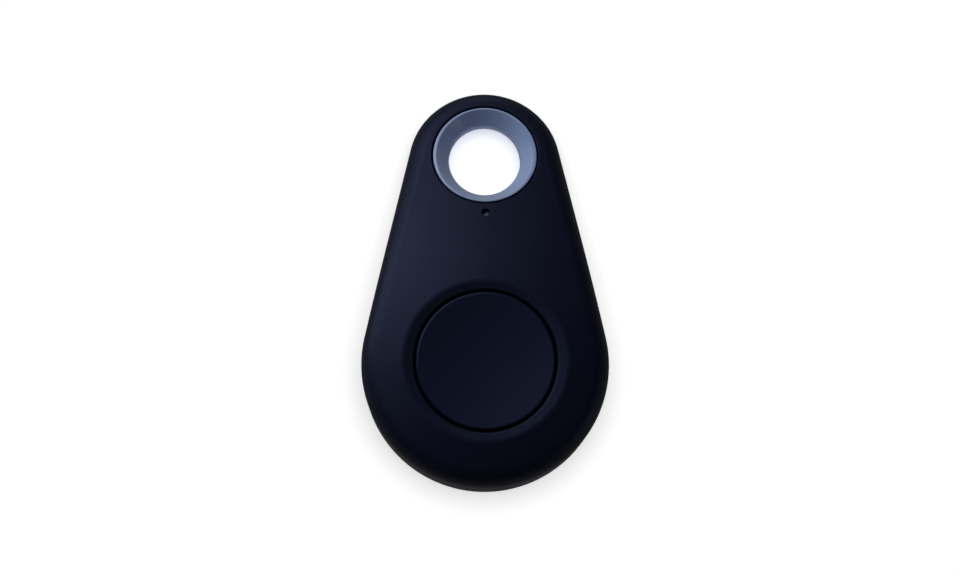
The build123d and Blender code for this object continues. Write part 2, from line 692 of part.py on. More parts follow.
with BuildPart() as switch_dome:
    crest = DOME_TOP - DOME_SHEET
    drop = crest - DOME_BOTTOM
    dome_r = (DOME_R**2 + drop**2) / (2 * drop)
    with BuildSketch(upright(ROUND_Y)):
        with BuildLine():
            RadiusArc((DOME_R, DOME_BOTTOM), (0, crest), -dome_r)
            Line((0, crest), (0, DOME_TOP))
            RadiusArc((0, DOME_TOP), (DOME_R, DOME_BOTTOM + DOME_SHEET), dome_r)
            Line((DOME_R, DOME_BOTTOM + DOME_SHEET), (DOME_R, DOME_BOTTOM))
        make_face()
    revolve(axis=upright_axis(ROUND_Y))
write(switch_dome, "switch_dome")

with BuildPart() as switch_terminals:
    leg_x = SWITCH_SIDE / 2
    leg_y = SWITCH_SIDE / 2 - TERMINAL_WIDTH
    for side in (-1, 1):
        with BuildSketch(upright(ROUND_Y + leg_y)) as foot:
            Polygon(
                (side * leg_x, BOARD_TOP),
                (side * (leg_x + TERMINAL_REACH), BOARD_TOP),
                (side * (leg_x + TERMINAL_REACH), BOARD_TOP + TERMINAL_SHEET),
                (side * (leg_x + TERMINAL_SHEET), BOARD_TOP + TERMINAL_SHEET),
                (side * (leg_x + TERMINAL_SHEET), BOARD_TOP + TERMINAL_HEIGHT),
                (side * leg_x, BOARD_TOP + TERMINAL_HEIGHT),
                align=None,
            )
        extrude(amount=TERMINAL_WIDTH / 2, both=True)
    mirror(about=Plane.XZ.offset(-ROUND_Y))
write(switch_terminals, "switch_terminals")

# ------------------------------------------------------------------------------------------- sounder

with BuildPart() as sounder_case:
    with BuildSketch(Plane.XY.offset(SOUNDER_BOTTOM)):
        with Locations((0, SOUNDER_Y)):
            RectangleRounded(SOUNDER_SIDE, SOUNDER_SIDE, SOUNDER_CORNER_R)
            Circle(SOUNDER_PORT_R, mode=Mode.SUBTRACT)
    extrude(amount=SOUNDER_HEIGHT)
    with BuildSketch(Plane.XY.offset(SOUNDER_BOTTOM + SOUNDER_FLOOR)):
        with Locations((0, SOUNDER_Y)):
            Circle(SOUNDER_STEP_R)
    extrude(amount=SOUNDER_HEIGHT, mode=Mode.SUBTRACT)
    with BuildSketch(Plane.XY.offset(SOUNDER_BOTTOM + SOUNDER_STEP)):
        with Locations((0, SOUNDER_Y)):
            Circle(SOUNDER_BORE_R)
    extrude(amount=SOUNDER_HEIGHT, mode=Mode.SUBTRACT)
write(sounder_case, "sounder_case")

with BuildPart() as sounder_diaphragm:
    with BuildSketch(Plane.XY.offset(SOUNDER_BOTTOM + SOUNDER_STEP)):
        with Locations((0, SOUNDER_Y)):
            Circle(SOUNDER_BORE_R - LOOSE)
    extrude(amount=DIAPHRAGM_SHEET)
write(sounder_diaphragm, "sounder_diaphragm")

with BuildPart() as sounder_magnet:
    with BuildSketch(Plane.XY.offset(SOUNDER_BOTTOM + MAGNET_RISE)):
        with Locations((0, SOUNDER_Y)):
            Circle(SOUNDER_BORE_R - LOOSE)
            Circle(MAGNET_BORE_R, mode=Mode.SUBTRACT)
    extrude(amount=SOUNDER_HEIGHT - MAGNET_RISE - POLE_PLATE - 2 * LOOSE)
write(sounder_magnet, "sounder_magnet")

with BuildPart() as sounder_coil:
    with BuildSketch(Plane.XY.offset(SOUNDER_BOTTOM + COIL_RISE)):
        with Locations((0, SOUNDER_Y)):
            Circle(COIL_R)
            Circle(POLE_R + LOOSE, mode=Mode.SUBTRACT)
    extrude(amount=SOUNDER_HEIGHT - COIL_RISE - POLE_PLATE - 2 * LOOSE)
write(sounder_coil, "sounder_coil")

with BuildPart() as sounder_pole_piece:
    with BuildSketch(upright(SOUNDER_Y)):
        Polygon(
            (0, SOUNDER_BOTTOM + POLE_RISE),
            (POLE_R, SOUNDER_BOTTOM + POLE_RISE),
            (POLE_R, BOARD_BOTTOM - LOOSE - POLE_PLATE),
            (SOUNDER_BORE_R - LOOSE, BOARD_BOTTOM - LOOSE - POLE_PLATE),
            (SOUNDER_BORE_R - LOOSE, BOARD_BOTTOM - LOOSE),
            (0, BOARD_BOTTOM - LOOSE),
            align=None,
        )
    revolve(axis=upright_axis(SOUNDER_Y))
write(sounder_pole_piece, "sounder_pole_piece")

# ------------------------------------------------------------------------------ cell and its contacts

with BuildPart() as negative_contact:
    with BuildSketch(Plane.YZ):
        Polygon(
            (SPRING_START_Y, BOARD_BOTTOM),
            (SPRING_BEND_Y, BOARD_BOTTOM),
            (SPRING_TOUCH_Y, CELL_TOP + SPRING_GAP + SPRING_SHEET),
            (SPRING_TIP_Y, BOARD_BOTTOM - SPRING_TIP_DROP),
            (SPRING_TIP_Y, BOARD_BOTTOM - SPRING_TIP_DROP - SPRING_SHEET),
            (SPRING_TOUCH_Y, CELL_TOP + SPRING_GAP),
            (SPRING_BEND_Y, BOARD_BOTTOM - SPRING_SHEET),
            (SPRING_START_Y, BOARD_BOTTOM - SPRING_SHEET),
            align=None,
        )
    extrude(amount=SPRING_WIDTH / 2, both=True)
write(negative_contact, "negative_contact")

with BuildPart() as positive_contacts:
    inner = CELL_R + CONTACT_GAP
    outer = inner + CONTACT_SHEET
    for angle in SIDE_CONTACT_ANGLES:
        outward = (cos(radians(angle)), sin(radians(angle)), 0)
        across = (outward[1], -outward[0], 0)
        with BuildSketch(Plane(origin=(0, CELL_Y, 0), x_dir=outward, z_dir=across)):
            Polygon(
                (inner, BOARD_BOTTOM),
                (inner + CONTACT_FOOT, BOARD_BOTTOM),
                (inner + CONTACT_FOOT, BOARD_BOTTOM - CONTACT_SHEET),
                (outer, BOARD_BOTTOM - CONTACT_SHEET),
                (outer, CONTACT_BOTTOM + CONTACT_FLARE),
                (outer + CONTACT_FLARE, CONTACT_BOTTOM),
                (inner + CONTACT_FLARE, CONTACT_BOTTOM),
                (inner, CONTACT_BOTTOM + CONTACT_FLARE),
                align=None,
            )
        extrude(amount=CONTACT_WIDTH / 2, both=True)
write(positive_contacts, "positive_contacts")

with BuildPart() as cell_pad:
    with BuildSketch(Plane.XY.offset(FLOOR)):
        with Locations((0, CELL_Y)):
            Circle(PAD_R)
    extrude(amount=CELL_BOTTOM - FLOOR - LOOSE)
write(cell_pad, "cell_pad")

with BuildPart() as cell_can:
    with BuildSketch(upright(CELL_Y)):
        Polygon(
            (0, CELL_BOTTOM),
            (CELL_R - CAN_CHAMFER, CELL_BOTTOM),
            (CELL_R, CELL_BOTTOM + CAN_CHAMFER),
            (CELL_R, CRIMP_TOP - CRIMP_SLOPE),
            (CELL_R - CRIMP_SLOPE, CRIMP_TOP),
            (CRIMP_R, CRIMP_TOP),
            (CRIMP_R, CRIMP_TOP - CELL_SHEET),
            (CELL_R - CELL_SHEET, CRIMP_TOP - CELL_SHEET - CRIMP_SLOPE / 2),
            (CELL_R - CELL_SHEET, CELL_BOTTOM + CELL_SHEET),
            (0, CELL_BOTTOM + CELL_SHEET),
            align=None,
        )
    revolve(axis=upright_axis(CELL_Y))
write(cell_can, "cell_can")

with BuildPart() as cell_gasket:
    with BuildSketch(upright(CELL_Y)):
        Polygon(
            (CRIMP_R, CELL_BOTTOM + CELL_SHEET + LOOSE),
            (CELL_R - CELL_SHEET - LOOSE, CELL_BOTTOM + CELL_SHEET + LOOSE),
            (CELL_R - CELL_SHEET - LOOSE, CRIMP_TOP - CELL_SHEET - CRIMP_SLOPE / 2 - 2 * LOOSE),
            (CRIMP_R, CRIMP_TOP - CELL_SHEET - 2 * LOOSE),
            align=None,
        )
    revolve(axis=upright_axis(CELL_Y))
write(cell_gasket, "cell_gasket")

with BuildPart() as cell_cap:
    with BuildSketch(upright(CELL_Y)):
        Polygon(
            (0, CELL_TOP),
            (CAP_R - CELL_SHEET, CELL_TOP),
            (CAP_R, CELL_TOP - CELL_SHEET),
            (CAP_R, CAP_BOTTOM),
            (CAP_R - CELL_SHEET, CAP_BOTTOM),
            (CAP_R - CELL_SHEET, CELL_TOP - 1.4 * CELL_SHEET),
            (CAP_R - 1.4 * CELL_SHEET, CELL_TOP - CELL_SHEET),
            (0, CELL_TOP - CELL_SHEET),
            align=None,
        )
    revolve(axis=upright_axis(CELL_Y))
write(cell_cap, "cell_cap")

with BuildPart() as cell_cathode:
    with BuildSketch(Plane.XY.offset(CELL_BOTTOM + CELL_SHEET + LOOSE)):
        with Locations((0, CELL_Y)):
            Circle(FILLING_R)
    extrude(amount=CATHODE_TOP - CELL_BOTTOM - CELL_SHEET - 2 * LOOSE)
write(cell_cathode, "cell_cathode")

with BuildPart() as cell_separator:
    with BuildSketch(Plane.XY.offset(CATHODE_TOP)):
        with Locations((0, CELL_Y)):
            Circle(FILLING_R)
    extrude(amount=SEPARATOR_SHEET)
write(cell_separator, "cell_separator")

with BuildPart() as cell_anode:
    with BuildSketch(Plane.XY.offset(CATHODE_TOP + SEPARATOR_SHEET + LOOSE)):
        with Locations((0, CELL_Y)):
            Circle(FILLING_R - CELL_SHEET)
    extrude(amount=CELL_TOP - CELL_SHEET - CATHODE_TOP - SEPARATOR_SHEET - 2 * LOOSE)
write(cell_anode, "cell_anode")
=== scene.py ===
import json
from math import cos, pi, radians, sin, tan

import bmesh
import bpy
from mathutils import Matrix, Vector


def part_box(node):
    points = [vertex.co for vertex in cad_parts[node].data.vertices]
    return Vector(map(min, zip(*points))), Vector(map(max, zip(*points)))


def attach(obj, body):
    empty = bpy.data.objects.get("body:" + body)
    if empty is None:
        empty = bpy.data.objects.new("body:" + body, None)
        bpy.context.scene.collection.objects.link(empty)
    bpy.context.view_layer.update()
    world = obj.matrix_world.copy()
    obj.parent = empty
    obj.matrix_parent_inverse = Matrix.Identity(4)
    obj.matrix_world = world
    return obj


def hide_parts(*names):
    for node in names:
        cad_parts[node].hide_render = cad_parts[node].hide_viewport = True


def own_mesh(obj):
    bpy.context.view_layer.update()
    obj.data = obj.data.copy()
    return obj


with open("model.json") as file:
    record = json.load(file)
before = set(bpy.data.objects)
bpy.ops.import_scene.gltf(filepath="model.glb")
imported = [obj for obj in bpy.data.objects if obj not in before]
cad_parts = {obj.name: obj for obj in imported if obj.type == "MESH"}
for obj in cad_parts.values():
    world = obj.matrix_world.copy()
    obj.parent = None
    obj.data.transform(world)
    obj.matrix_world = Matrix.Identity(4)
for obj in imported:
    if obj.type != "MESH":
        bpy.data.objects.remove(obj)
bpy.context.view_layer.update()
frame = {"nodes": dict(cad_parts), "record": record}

MM = 0.001
UP = Vector((0, 0, 1))


# ------------------------------------------------------------------------------------------ the stage

TILT = 0.195  # in radians: the camera leans this far from straight down, towards the round end
TURN = 0.02  # in radians: and this far to the left
DISTANCE = 220 * MM
PICTURE_WIDTH = 960  # in pixels
PIXELS_PER_MM = 7.83  # at the height that the camera aims at
AIM_HEIGHT = 5.5 * MM  # about half the tag's thickness
AIM_LEFT = 0.61 * MM  # the picture's centre is this far left of the tag's
AIM_BELOW = 0.34 * MM  # and this far below it
NEAREST = 0.01  # what the camera sees lies between these two distances, in metres
FARTHEST = 10.0

STAGE_REACH = 3.0  # half the width of the stage's sheets, in metres
LIT_POINT = Vector((0, 0, 5 * MM))  # every area light faces this point
COOL = (0.74, 0.83, 1.0)  # the colour of the lights on the tag
LIGHTS = {  # place and size in metres, power in watts
    # The main light, high on the upper left
    "key": {"place": (-0.26, 0.31, 0.45), "size": 0.40, "power": 2.05},
    # Low on the right, for the far side
    "fill": {"place": (0.50, -0.22, 0.08), "size": 0.30, "power": 0.2},
    # Lower on the left, for the tag's left edge
    "edge_light": {"place": (-0.46, 0.24, 0.16), "size": 0.20, "power": 0.55},
    # Low beyond the narrow end
    "back_light": {"place": (0.0, 0.52, 0.10), "size": 0.25, "power": 0.26},
    # Small, for the light ring alone
    "rim_light": {"place": (0.30, 0.22, 0.26), "size": 0.03, "power": 0.06},
    # For the pieces inside alone, which show when the tag is open
    "inner_light": {"place": (0.36, -0.36, 0.10), "size": 0.40, "power": 0.9},
}
SKY_WIDTH = radians(48)  # the angle the sky light fills, which sets how soft the floor's shadow is
SKY_POWER = 1.95  # in watts per square metre
OUTER_PIECES = ("front_shell", "back_cover", "button_cap", "light_ring")  # all that shows when closed


def make_camera():
    """The photo's view: nearly straight down on the front, a little from the round end."""
    centre = Vector((0, 0, AIM_HEIGHT))
    back = Vector((-sin(TURN) * cos(TILT), -sin(TILT), cos(TURN) * cos(TILT)))
    right = Vector((cos(TURN), 0, sin(TURN)))
    up = back.cross(right)
    data = bpy.data.cameras.new("camera")
    data.sensor_width = 36.0
    data.lens = PIXELS_PER_MM * DISTANCE / MM / PICTURE_WIDTH * data.sensor_width
    data.clip_start = NEAREST
    data.clip_end = FARTHEST
    camera = bpy.data.objects.new("camera", data)
    camera.matrix_world = Matrix((right, up, back)).transposed().to_4x4()
    camera.location = centre + back * DISTANCE - right * AIM_LEFT - up * AIM_BELOW
    bpy.context.scene.collection.objects.link(camera)
    bpy.context.scene.camera = camera


def area_light(name, place, size, power):
    """A square soft light at a place, turned to the tag."""
    data = bpy.data.lights.new(name, "AREA")
    data.size = size
    data.energy = power
    data.color = COOL
    light = bpy.data.objects.new(name, data)
    light.location = place
    light.rotation_mode = "QUATERNION"
    light.rotation_quaternion = (LIT_POINT - Vector(place)).to_track_quat("-Z", "Y")
    bpy.context.scene.collection.objects.link(light)
    return light


def sky_light(name, width, power):
    """Even light from straight above, from a round patch of sky of a given angle."""
    data = bpy.data.lights.new(name, "SUN")
    data.angle = width
    data.energy = power
    light = bpy.data.objects.new(name, data)
    bpy.context.scene.collection.objects.link(light)
    return light


def plane(name, height, base, emission):
    """A large level sheet of one grey, part of the stage, that may also glow."""
    mesh = bpy.data.meshes.new(name)
    reach = STAGE_REACH
    corners = [(-reach, -reach, 0), (reach, -reach, 0), (reach, reach, 0), (-reach, reach, 0)]
    mesh.from_pydata(corners, [], [(0, 1, 2, 3)])
    sheet = bpy.data.objects.new(name, mesh)
    sheet.location.z = height
    bpy.context.scene.collection.objects.link(sheet)
    material = bpy.data.materials.new(name + "_paper")
    material.use_nodes = True
    shader = material.node_tree.nodes["Principled BSDF"]
    shader.inputs["Base Color"].default_value = (base, base, base, 1)
    shader.inputs["Roughness"].default_value = 0.9
    shader.inputs["Specular IOR Level"].default_value = 0.0
    shader.inputs["Emission Color"].default_value = (1, 1, 1, 1)
    shader.inputs["Emission Strength"].default_value = emission
    mesh.materials.append(material)
    return sheet


def only_on(lights, things, state):
    """Let lights fall on these things alone (INCLUDE), or on everything but them (EXCLUDE)."""
    group = bpy.data.collections.new("lit_by_" + lights[0].name)
    for thing in things:
        group.objects.link(thing)
    for member in group.collection_objects:
        member.light_linking.link_state = state
    for light in lights:
        light.light_linking.receiver_collection = group


def make_stage():
    """A plain white floor under an even sky, and soft light on the tag from the upper left."""
    floor = plane("floor", height=-0.02 * MM, base=0.9, emission=0.46)
    floor.visible_glossy = False
    # Reflections show this dim sheet in place of the floor
    mirrored_floor = plane("mirrored_floor", height=-0.05 * MM, base=0.0, emission=0.14)
    mirrored_floor.visible_camera = False
    mirrored_floor.visible_diffuse = False
    mirrored_floor.visible_transmission = False
    mirrored_floor.visible_shadow = False

    lights = {name: area_light(name, **how) for name, how in LIGHTS.items()}
    sky = sky_light("sky", SKY_WIDTH, SKY_POWER)
    on_tag = [lights[name] for name in ("key", "fill", "edge_light", "back_light")]
    only_on(on_tag, [floor], "EXCLUDE")
    only_on([sky], [floor], "INCLUDE")
    only_on([lights["rim_light"]], [frame["nodes"]["light_ring"]], "INCLUDE")
    outer = [frame["nodes"][name] for name in OUTER_PIECES] + [floor, mirrored_floor]
    inner = [thing for thing in bpy.data.objects if thing.type == "MESH" and thing not in outer]
    only_on([lights["inner_light"]], inner, "INCLUDE")

    # A white world, seen by the camera but not lighting surfaces or reflecting in them
    world = bpy.data.worlds.new("studio")
    bpy.context.scene.world = world
    world.use_nodes = True
    background = world.node_tree.nodes["Background"]
    background.inputs["Color"].default_value = (1, 1, 1, 1)
    background.inputs["Strength"].default_value = 1.0
    world.cycles_visibility.diffuse = False
    world.cycles_visibility.glossy = False
    bpy.context.scene.view_settings.view_transform = "Standard"


# -------------------------------------------------------------------------------------- materials

RELIEF = 0.01 * MM  # the height of every fine relief
CLOUD_GRAINS = 8  # the tones of a plain material change over this many of its grains


def new_material(name):
    """A material, with its node tree and its shader."""
    material = bpy.data.materials.new(name)
    material.use_nodes = True
    return material, material.node_tree, material.node_tree.nodes["Principled BSDF"]


def noise(tree, scale, detail):
    """A noise pattern in the object's own metres; scale is about one over the grain's size."""
    coords = tree.nodes.new("ShaderNodeTexCoord")
    texture = tree.nodes.new("ShaderNodeTexNoise")
    texture.inputs["Scale"].default_value = scale
    texture.inputs["Detail"].default_value = detail
    tree.links.new(coords.outputs["Object"], texture.inputs["Vector"])
    return texture.outputs["Fac"]


def spread(tree, value, low, high):
    """A 0 to 1 value, spread between two numbers."""
    node = tree.nodes.new("ShaderNodeMapRange")
    node.inputs["To Min"].default_value = low
    node.inputs["To Max"].default_value = high
    tree.links.new(value, node.inputs["Value"])
    return node.outputs["Result"]


def between(tree, value, colour_a, colour_b):
    """A 0 to 1 value, as a colour between two."""
    node = tree.nodes.new("ShaderNodeMix")
    node.data_type = "RGBA"
    node.inputs["A"].default_value = (*colour_a, 1)
    node.inputs["B"].default_value = (*colour_b, 1)
    tree.links.new(value, node.inputs["Factor"])
    return node.outputs["Result"]


def bump(tree, shader, value, strength):
    """Fine relief from a value."""
    node = tree.nodes.new("ShaderNodeBump")
    node.inputs["Distance"].default_value = RELIEF
    node.inputs["Strength"].default_value = strength
    tree.links.new(value, node.inputs["Height"])
    tree.links.new(node.outputs["Normal"], shader.inputs["Normal"])


def soft_touch(name, dark, light):
    """Blue-black plastic with a soft-touch coat: a very fine grain, and slow changes of sheen."""
    material, tree, shader = new_material(name)
    cloud = noise(tree, scale=90, detail=3)
    grain = noise(tree, scale=5200, detail=2)
    tree.links.new(between(tree, cloud, dark, light), shader.inputs["Base Color"])
    tree.links.new(spread(tree, cloud, low=0.42, high=0.50), shader.inputs["Roughness"])
    shader.inputs["Specular IOR Level"].default_value = 0.25
    shader.inputs["Specular Tint"].default_value = (0.55, 0.63, 1.0, 1)
    bump(tree, shader, grain, strength=0.35)
    return material


def smoke_plastic(name, dark, light):
    """Blue-grey plastic with a polished surface, which lets a little light through."""
    material, tree, shader = new_material(name)
    cloud = noise(tree, scale=160, detail=2)
    ripple = noise(tree, scale=700, detail=1)
    tree.links.new(between(tree, cloud, dark, light), shader.inputs["Base Color"])
    tree.links.new(spread(tree, cloud, low=0.10, high=0.16), shader.inputs["Roughness"])
    shader.inputs["Transmission Weight"].default_value = 0.1
    shader.inputs["IOR"].default_value = 1.49
    bump(tree, shader, ripple, strength=0.15)
    return material


def plain_grained(name, dark, light, roughness, metallic=0.0, grain=3000, relief=0.3):
    """A moulded, pressed or rolled material: two tones, a spread of roughness and a fine relief."""
    material, tree, shader = new_material(name)
    cloud = noise(tree, scale=grain / CLOUD_GRAINS, detail=3)
    tree.links.new(between(tree, cloud, dark, light), shader.inputs["Base Color"])
    tree.links.new(spread(tree, cloud, *roughness), shader.inputs["Roughness"])
    shader.inputs["Metallic"].default_value = metallic
    bump(tree, shader, noise(tree, scale=grain, detail=2), strength=relief)
    return material


# The plain materials by slot, each with its name, two tones, and the least and greatest roughness
NON_METALS = {
    "board_laminate": ("solder_mask", (0.008, 0.060, 0.024), (0.012, 0.080, 0.032), (0.25, 0.38)),
    "black_moulding": ("black_moulding", (0.008, 0.008, 0.009), (0.013, 0.013, 0.014), (0.45, 0.6)),
    "chip_epoxy": ("chip_epoxy", (0.010, 0.010, 0.011), (0.018, 0.018, 0.019), (0.5, 0.65)),
    "led_body": ("led_body", (0.70, 0.69, 0.60), (0.78, 0.77, 0.68), (0.2, 0.3)),
    "capacitor_ceramic": ("capacitor_ceramic", (0.30, 0.19, 0.10), (0.38, 0.25, 0.14), (0.4, 0.55)),
    "ferrite": ("ferrite", (0.014, 0.014, 0.016), (0.024, 0.024, 0.026), (0.5, 0.7)),
    "magnet": ("magnet", (0.035, 0.035, 0.037), (0.05, 0.05, 0.052), (0.5, 0.7)),
    "gasket_plastic": ("gasket_plastic", (0.58, 0.58, 0.52), (0.66, 0.66, 0.60), (0.4, 0.5)),
    "cathode_powder": ("cathode_powder", (0.012, 0.012, 0.012), (0.03, 0.03, 0.03), (0.8, 0.95)),
    "separator_felt": ("separator_felt", (0.72, 0.72, 0.68), (0.84, 0.84, 0.80), (0.85, 0.95)),
}
METALS = {
    "tinned_steel": ("tinned_steel", (0.52, 0.52, 0.50), (0.66, 0.66, 0.64), (0.24, 0.36)),
    "silvered_brass": ("silvered_brass", (0.62, 0.59, 0.52), (0.74, 0.71, 0.64), (0.2, 0.32)),
    "spring_steel": ("spring_steel", (0.46, 0.45, 0.43), (0.60, 0.59, 0.56), (0.22, 0.34)),
    "gold_plating": ("gold_plating", (0.72, 0.47, 0.16), (0.82, 0.56, 0.22), (0.2, 0.32)),
    "copper_wire": ("copper_wire", (0.40, 0.12, 0.04), (0.52, 0.18, 0.07), (0.25, 0.4)),
    "iron": ("zinced_iron", (0.34, 0.34, 0.35), (0.44, 0.44, 0.45), (0.35, 0.5)),
    "cell_steel": ("cell_steel", (0.56, 0.56, 0.55), (0.66, 0.66, 0.65), (0.26, 0.38)),
    "lithium": ("lithium", (0.50, 0.50, 0.52), (0.62, 0.62, 0.64), (0.4, 0.6)),
}
MATERIALS = {
    "shell_plastic": soft_touch("soft_touch_shell", (0.0050, 0.0056, 0.0128), (0.0062, 0.0068, 0.0152)),
    "button_plastic": soft_touch("soft_touch_button", (0.0052, 0.0062, 0.0165), (0.0062, 0.0074, 0.0190)),
    "ring_plastic": smoke_plastic("smoke_ring", (0.36, 0.43, 0.60), (0.41, 0.48, 0.64)),
    "foam": plain_grained(
        "foam", (0.010, 0.010, 0.010), (0.022, 0.022, 0.022), (0.85, 0.95), grain=4200, relief=0.9
    ),
}
for slot, finish in NON_METALS.items():
    MATERIALS[slot] = plain_grained(*finish)
for slot, finish in METALS.items():
    MATERIALS[slot] = plain_grained(*finish, metallic=1.0)

MASK_OVER_COPPER = plain_grained(
    "mask_over_copper", (0.016, 0.105, 0.040), (0.024, 0.130, 0.052), (0.2, 0.32)
)

for part in frame["record"]["subparts"]:
    node = frame["nodes"][part["node"]]
    material = MATERIALS[part["material_slot"]]
    for place in node.material_slots:
        place.link = "OBJECT"
        place.material = material


# --------------------------------------------------------------------------------- building pieces

CREASE = radians(40)  # edges that turn by more than this stay sharp
SAME_POINT = 0.001 * MM  # points of a CAD mesh that are closer than this are one point


def place_piece(name, mesh_maker, body, slot, material=None):
    """Turn a bmesh into a piece that rides on a body, with the slot's material if none is given."""
    mesh = bpy.data.meshes.new(name)
    bmesh.ops.recalc_face_normals(mesh_maker, faces=mesh_maker.faces)
    mesh_maker.to_mesh(mesh)
    mesh_maker.free()
    for polygon in mesh.polygons:
        polygon.use_smooth = True
    piece = bpy.data.objects.new(name, mesh)
    bpy.context.scene.collection.objects.link(piece)
    piece.data.materials.append(material or MATERIALS[slot])
    mesh.set_sharp_from_angle(angle=CREASE)
    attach(piece, body)
    return piece


def solids(node):
    """The box of each separate solid in a CAD node: its lowest and highest corners, in order of x, then y."""
    copy = bmesh.new()
    copy.from_mesh(frame["nodes"][node].data)
    bmesh.ops.remove_doubles(copy, verts=copy.verts, dist=SAME_POINT)
    left = set(copy.verts)
    boxes = []
    while left:
        group = [left.pop()]
        for vert in group:
            for edge in vert.link_edges:
                other = edge.other_vert(vert)
                if other in left:
                    left.remove(other)
                    group.append(other)
        low = Vector([min(v.co[axis] for v in group) for axis in range(3)])
        high = Vector([max(v.co[axis] for v in group) for axis in range(3)])
        boxes.append((low, high))
    copy.free()
    return sorted(boxes, key=lambda pair: (round(pair[0].x, 6), round(pair[0].y, 6)))


def join_loops(maker, here, there):
    """A band of faces between two loops with as many points."""
    for k in range(len(here)):
        j = (k + 1) % len(here)
        maker.faces.new((here[k], here[j], there[j], there[k]))


def solid_between(maker, sections):
    """A closed solid through a row of sections, each a list of points round the solid."""
    loops = [[maker.verts.new(point) for point in section] for section in sections]
    maker.faces.new(loops[0][::-1])
    maker.faces.new(loops[-1])
    for here, there in zip(loops, loops[1:]):
        join_loops(maker, here, there)


def ahead_at(path, i):
    """The direction of a path at its point number i."""
    return (path[min(i + 1, len(path) - 1)] - path[max(i - 1, 0)]).normalized()


def rounded_block(maker, low, high, rounding):
    """A block between two corners, with rounded edges."""
    made = bmesh.ops.create_cube(maker, size=1.0)
    size = high - low
    for vert in made["verts"]:
        vert.co = (low + high) / 2 + Vector([vert.co[axis] * size[axis] for axis in range(3)])
    edges = list({edge for vert in made["verts"] for edge in vert.link_edges})
    bmesh.ops.bevel(maker, geom=edges, offset=rounding, segments=2, affect="EDGES", profile=0.5)


def eyelet(maker, centre, radius, hole, height, sides=16):
    """A short upright ring round a hole, with both of its upper edges chamfered."""
    chamfer = 0.07 * radius
    shoulder = 0.7 * height
    profile = [
        (radius, 0),
        (radius, shoulder),
        (radius - chamfer, height),
        (hole + chamfer, height),
        (hole, shoulder),
        (hole, 0),
    ]
    turn = [2 * pi * k / sides for k in range(sides)]
    loops = []
    for r, z in profile:
        loops.append([maker.verts.new(centre + Vector((r * cos(a), r * sin(a), z))) for a in turn])
    for lower, upper in zip(loops, loops[1:] + loops[:1]):
        join_loops(maker, lower, upper)


def ribbon(maker, points, width, bottom, top):
    """A flat track of one width along level points, with mitred corners."""
    flat = [Vector((x, y, 0)) for x, y in points]
    sections = []
    for i, point in enumerate(flat):
        before = (point - flat[i - 1]).normalized() if i else (flat[1] - point).normalized()
        after = (flat[i + 1] - point).normalized() if i + 1 < len(flat) else before
        across = (before + after).normalized().cross(UP)
        # A sharp corner's mitre reaches out by one width at most
        reach = width / 2 / max(0.5, across.dot(before.cross(UP)))
        right = point + across * reach
        left = point - across * reach
        corners = [(right, bottom), (right, top), (left, top), (left, bottom)]
        sections.append([(at.x, at.y, z) for at, z in corners])
    solid_between(maker, sections)


# ----------------------------------------------------------------------- small work on the board

BOARD_LOW, BOARD_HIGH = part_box("circuit_board")
BOARD_FACE = BOARD_HIGH.z
BOARD_BACK = BOARD_LOW.z
SINK = 0.005 * MM  # how far small work is sunk into what carries it

END_CAPPED = ("chip_capacitors", "chip_resistors", "chip_inductor", "indicator_led")
CAP_SHARE = 0.24  # of the part's length, for each of its end caps
CAP_PROUD = 0.012 * MM  # how far an end cap stands out round its part
CAP_ROUNDING = 0.03 * MM

RADIO_PADS = 8  # on each side of the radio chip
RADIO_PITCH = 0.5 * MM
CRYSTAL_PAD_PLACE = 0.27  # of the crystal's width, from its middle


def solder_fillet(maker, foot, outward, across, width, reach, height):
    """Solder that climbs a part's end from the board, with the hollow face of a good joint."""
    steps = 5
    curve = [foot - outward * SINK - UP * SINK]
    for k in range(steps + 1):
        angle = pi / 2 * k / steps
        curve.append(foot + outward * reach * (1 - sin(angle)) + UP * height * (1 - cos(angle)))
    curve.append(foot - outward * SINK + UP * height)
    solid_between(maker, [[point + across * side * width / 2 for point in curve] for side in (-1, 1)])


def end_parts(low, high):
    """For both ends of a chip part: its foot's middle, the directions out of and across it, its width."""
    size = high - low
    along = Vector((1, 0, 0)) if size.x >= size.y else Vector((0, 1, 0))
    across = UP.cross(along)
    middle = (low + high) / 2
    half = max(size.x, size.y) / 2
    width = min(size.x, size.y)
    for sign in (1, -1):
        foot = Vector((middle.x, middle.y, low.z)) + along * sign * half
        yield foot, along * sign, across * sign, width


def make_chip_ends():
    """Tinned end caps on the chip parts, and the solder that holds each part to the board."""
    caps = bmesh.new()
    solder = bmesh.new()
    for node in END_CAPPED:
        for low, high in solids(node):
            height = high.z - low.z
            length = max(high.x - low.x, high.y - low.y)
            for foot, outward, across, width in end_parts(low, high):
                face = foot + outward * CAP_PROUD
                half_width = across * (width / 2 + CAP_PROUD)
                corners = [face + half_width, foot - outward * CAP_SHARE * length - half_width]
                cap_low = Vector([min(c[axis] for c in corners) for axis in range(3)])
                cap_high = Vector([max(c[axis] for c in corners) for axis in range(3)])
                cap_high.z = high.z + CAP_PROUD
                rounded_block(caps, cap_low, cap_high, CAP_ROUNDING)
                solder_fillet(
                    solder, face, outward, across, width=0.9 * width, reach=0.22 * MM, height=0.6 * height
                )
    place_piece("chip_end_caps", caps, "housing", "tinned_steel")
    place_piece("chip_solder", solder, "housing", "tinned_steel")


